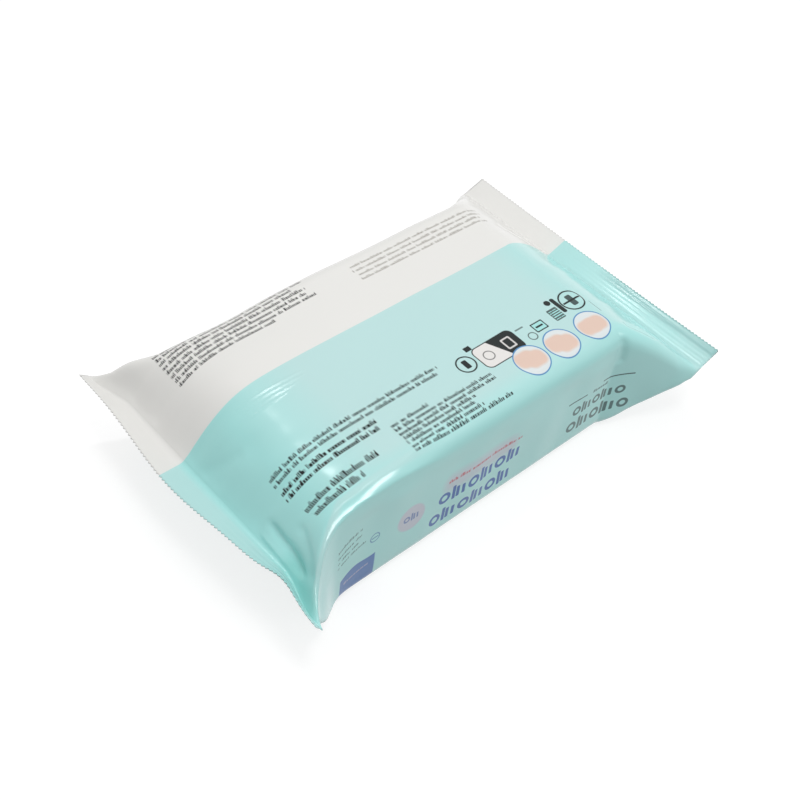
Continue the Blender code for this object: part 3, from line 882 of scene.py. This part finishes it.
def ground_group(colours, groups):
    """Bare film: turquoise with painted light and shade on it, and off-white along the far side."""
    tree, given, out = new_group("film_ground", {"Along": 0.0, "Across": 0.0}, "Colour", "NodeSocketColor")
    film = FilmPrint(tree, given["Along"], given["Across"], groups)
    film_turquoise = tree.nodes.new("ShaderNodeRGB")
    film_turquoise.outputs[0].default_value = (*colours.turquoise, 1.0)
    film.colour = film_turquoise.outputs[0]
    # Painted light: the top is laid paler, where the light falls full on it
    top_along = inside(tree, film.along, -78.0, 70.0, 36.0)
    top_across = inside(tree, film.across, -50.0, 70.0, 14.0)
    film.lay(calc(tree, "MULTIPLY", top_along, top_across), colours.painted_light_turquoise)
    # The near side gets a third of the painted-light turquoise, which makes it paler and greyer
    near_side = inside(tree, film.across, -160.0, -62.0, 14.0)
    film.lay(near_side, colours.painted_light_turquoise, 0.3)
    # Painted highlight: a paler band along the left part of the near top edge, turning down its corner
    before = calc(tree, "MAXIMUM", calc(tree, "SUBTRACT", -90.0, film.along), 0.0)
    turn = calc(tree, "MULTIPLY", before, 0.62)
    painted_ridge_highlight = inside(tree, calc(tree, "ADD", film.across, turn), -53.4, -49.0, 1.6)
    left_part = inside(tree, film.along, -117.0, -48.0, 14.0)
    film.lay(calc(tree, "MULTIPLY", painted_ridge_highlight, left_part), colours.painted_light_turquoise, 0.6)
    # Painted shade: a darker turquoise laid in the fold beside the near corner
    fold = film.box((-119.0, -60.0), (4.0, 13.0), 4.0, 7.0)
    film.lay(fold, colours.painted_fold_shade, 0.5)
    # Painted light: both seals are laid paler, as on the top
    left_seal = inside(tree, film.along, -300.0, -124.0, 2.0)
    film.lay(left_seal, colours.painted_light_turquoise, 0.7)
    right_seal = inside(tree, film.along, 113.5, 300.0, 2.0)
    film.lay(right_seal, colours.painted_light_turquoise, 0.5)
    cut_edge = inside(tree, film.along, 124.0, 300.0, 1.5)
    near_half = inside(tree, film.across, -200.0, -12.0, 14.0)
    film.lay(calc(tree, "MULTIPLY", cut_edge, near_half), colours.shade, 0.8)
    drift = calc(tree, "MULTIPLY", inside(tree, film.along, 85.0, 400.0, 40.0), 3.0)
    far_band = inside(tree, calc(tree, "SUBTRACT", film.across, drift), 15.3, 112.0, 0.35)
    film.lay(far_band, colours.off_white)
    tree.links.new(film.colour, out["Colour"])
    return tree


def film_material(name, colours, groups, lay_print=None):
    """Printed film: the bare film with one field of its print, or with the fine ridges where it has none."""
    material = bpy.data.materials.new(name)
    material.use_nodes = True
    tree = material.node_tree
    shader = tree.nodes["Principled BSDF"]
    shader.inputs["Roughness"].default_value = colours.roughness
    shader.inputs["Specular IOR Level"].default_value = colours.gloss
    uv = tree.nodes.new("ShaderNodeUVMap")
    uv.uv_map = "film"
    split = tree.nodes.new("ShaderNodeSeparateXYZ")
    tree.links.new(uv.outputs["UV"], split.inputs[0])
    along = calc(tree, "MULTIPLY", split.outputs["X"], PER_METRE)
    across = calc(tree, "MULTIPLY", split.outputs["Y"], PER_METRE)
    film = FilmPrint(tree, along, across, groups)
    film.colour = film.use("ground")
    if lay_print:
        lay_print(film, colours)
    else:
        bump = tree.nodes.new("ShaderNodeBump")
        bump.inputs["Distance"].default_value = RIDGE_HEIGHT
        tree.links.new(film.use("ridges"), bump.inputs["Height"])
        tree.links.new(bump.outputs["Normal"], shader.inputs["Normal"])
    tree.links.new(film.colour, shader.inputs["Base Color"])
    return material


# Fields of print: material, what is laid there, and the limits along and across the film in millimetres
PRINT_FIELDS = (
    ("far_print", lay_white_print, (-103.0, 79.0, 34.5, 60.0)),
    ("symbols", lay_symbols, (-9.2, 73.0, -54.5, -19.0)),
    ("small_print", lay_small_print, (-104.0, -9.2, -54.5, -19.0)),
    ("small_print", lay_small_print, (-9.3, 2.4, -54.5, -35.2)),
    ("side_print", lay_side_print, (-96.0, 83.0, -114.0, -70.0)),
)


def film_materials(mesh, along, across, colours):
    """Give each print field its own material, so that a spot of the film works out only its own print.

    A face is in a field when its middle, in film millimetres, lies within the field's four limits.
    """
    groups = {"rows": rows_group(), "box": box_group(), "ridges": streak_group()}
    groups["ground"] = ground_group(colours, groups)
    mesh.materials.append(film_material("printed_film", colours, groups))
    quarter = PER_METRE / 4.0
    a, c = [(v[:-1, :-1] + v[1:, :-1] + v[1:, 1:] + v[:-1, 1:]) * quarter for v in (along, across)]
    slots = np.zeros(len(mesh.polygons), dtype=np.int32)
    for name, lay_print, (start, end, low, high) in PRINT_FIELDS:
        index = mesh.materials.find(name)
        if index < 0:
            index = len(mesh.materials)
            mesh.materials.append(film_material(name, colours, groups, lay_print))
        within = (a > start) & (a < end) & (c > low) & (c < high)
        slots[:a.size][within.ravel()] = index
    mesh.polygons.foreach_set("material_index", slots)


def place(mesh, name):
    """Make an object of the mesh, at the origin and unturned, in the scene."""
    made = bpy.data.objects.new(name, mesh)
    bpy.context.scene.collection.objects.link(made)
    return made


class MakeFilmPack(bpy.types.Operator):
    """Make the printed film pack with its two end seals"""

    bl_idname = "wipes.film_pack"
    bl_label = "Film pack"

    def execute(self, context):
        sizes = context.scene.pack_sizes
        if sizes.around % 8:
            raise ValueError("points around must be a multiple of 8")
        x, y, z, along, across = film_shape(sizes)
        x, y, z = add_wrinkles(x, y, z, along, across, sizes)
        x = x - (x.min() + x.max()) / 2.0 + (NODE_LOW.x + NODE_HIGH.x) / 2.0
        z = np.maximum(z, 0.0)
        mesh = film_mesh("film_pack", x, y, z, along, across)
        film_materials(mesh, along, across, context.scene.film_colours)
        pack = place(mesh, "film_pack")
        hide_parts("wipes_pack")
        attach(pack, "root")
        return {"FINISHED"}


def whiter(tree, base, target, strength):
    """Show a plain white to the camera and in reflections, mixed in with what is there for other rays."""
    path = tree.nodes.new("ShaderNodeLightPath")
    seen = calc(tree, "MAXIMUM", path.outputs["Is Camera Ray"], path.outputs["Is Glossy Ray"])
    seen = calc(tree, "MAXIMUM", seen, path.outputs["Is Transmission Ray"])
    tree.links.new(calc(tree, "ADD", calc(tree, "MULTIPLY", seen, strength), base), target)


def area_lamp(name, power, size, spot, aim, diffuse=True, glossy=True):
    """A soft lamp at spot that faces aim. It can be kept out of the diffuse light or of reflections."""
    lamp = bpy.data.lights.new(name, "AREA")
    lamp.shape = "RECTANGLE"
    lamp.size, lamp.size_y = size
    lamp.energy = power
    made = bpy.data.objects.new(name, lamp)
    made.location = spot
    made.visible_diffuse = diffuse
    made.visible_glossy = glossy
    made.rotation_mode = "QUATERNION"
    made.rotation_quaternion = (Vector(aim) - Vector(spot)).to_track_quat("-Z", "Y")
    bpy.context.scene.collection.objects.link(made)
    return made


class MakeStage(bpy.types.Operator):
    """Make the pale floor, the soft lamps and the camera"""

    bl_idname = "wipes.stage"
    bl_label = "Studio"

    def execute(self, context):
        scene = context.scene
        stage = scene.stage_settings
        floor_mesh = bpy.data.meshes.new("floor")
        half = FLOOR_HALF
        corners = [(-half, -half, 0.0), (half, -half, 0.0), (half, half, 0.0), (-half, half, 0.0)]
        floor_mesh.from_pydata(corners, [], [(0, 1, 2, 3)])
        floor = place(floor_mesh, "floor")
        material = bpy.data.materials.new("floor_white")
        material.use_nodes = True
        shader = material.node_tree.nodes["Principled BSDF"]
        shader.inputs["Base Color"].default_value = (FLOOR_GREY, FLOOR_GREY, FLOOR_GREY, 1.0)
        shader.inputs["Roughness"].default_value = 1.0
        shader.inputs["Specular IOR Level"].default_value = 0.0
        shader.inputs["Emission Color"].default_value = (1.0, 1.0, 1.0, 1.0)
        whiter(material.node_tree, 0.0, shader.inputs["Emission Strength"], FLOOR_GLOW)
        floor_mesh.materials.append(material)
        world = bpy.data.worlds.new("studio")
        world.use_nodes = True
        back = world.node_tree.nodes["Background"]
        back.inputs["Color"].default_value = (1.0, 1.0, 1.0, 1.0)
        whiter(world.node_tree, stage.ambient, back.inputs["Strength"], 1.0 - stage.ambient)
        scene.world = world
        lamps = [area_lamp(name, getattr(stage, name + "_power"), **look) for name, look in LAMPS.items()]
        camera_data = bpy.data.cameras.new("camera")
        camera_data.lens = stage.lens
        camera_data.sensor_width = SENSOR_WIDTH
        camera_data.clip_start = 0.01
        camera_data.clip_end = 50.0
        camera = bpy.data.objects.new("camera", camera_data)
        spot = Vector(stage.camera_place)
        look = (Vector(stage.camera_aim) - spot).to_track_quat("-Z", "Y")
        turn = look.to_matrix() @ Matrix.Rotation(stage.camera_roll, 3, "Z")
        camera.matrix_world = Matrix.Translation(spot) @ turn.to_4x4()
        scene.collection.objects.link(camera)
        scene.camera = camera
        scene.view_settings.view_transform = "Standard"
        return {"FINISHED"}


class WIPES_PT_panel(bpy.types.Panel):
    """Lists the pieces of the pack and the studio"""

    bl_label = "Wipes pack"
    bl_space_type = "VIEW_3D"
    bl_region_type = "UI"
    bl_category = "Wipes pack"

    def draw(self, context):
        column = self.layout.column()
        for group in (context.scene.pack_sizes, context.scene.film_colours, context.scene.stage_settings):
            for name in group.bl_rna.properties.keys():
                if name not in {"rna_type", "name"}:
                    column.prop(group, name)
        for operator in (MakeFilmPack, MakeStage):
            column.operator(operator.bl_idname)


CLASSES = (PackSizes, FilmColours, StageSettings, MakeFilmPack, MakeStage, WIPES_PT_panel)


def register():
    for item in CLASSES:
        bpy.utils.register_class(item)
    bpy.types.Scene.pack_sizes = bpy.props.PointerProperty(type=PackSizes)
    bpy.types.Scene.film_colours = bpy.props.PointerProperty(type=FilmColours)
    bpy.types.Scene.stage_settings = bpy.props.PointerProperty(type=StageSettings)


def unregister():
    del bpy.types.Scene.stage_settings
    del bpy.types.Scene.film_colours
    del bpy.types.Scene.pack_sizes
    for item in reversed(CLASSES):
        bpy.utils.unregister_class(item)


def main():
    """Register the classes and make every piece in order."""
    register()
    bpy.ops.wipes.film_pack()
    bpy.ops.wipes.stage()


if __name__ == "__main__":
    main()
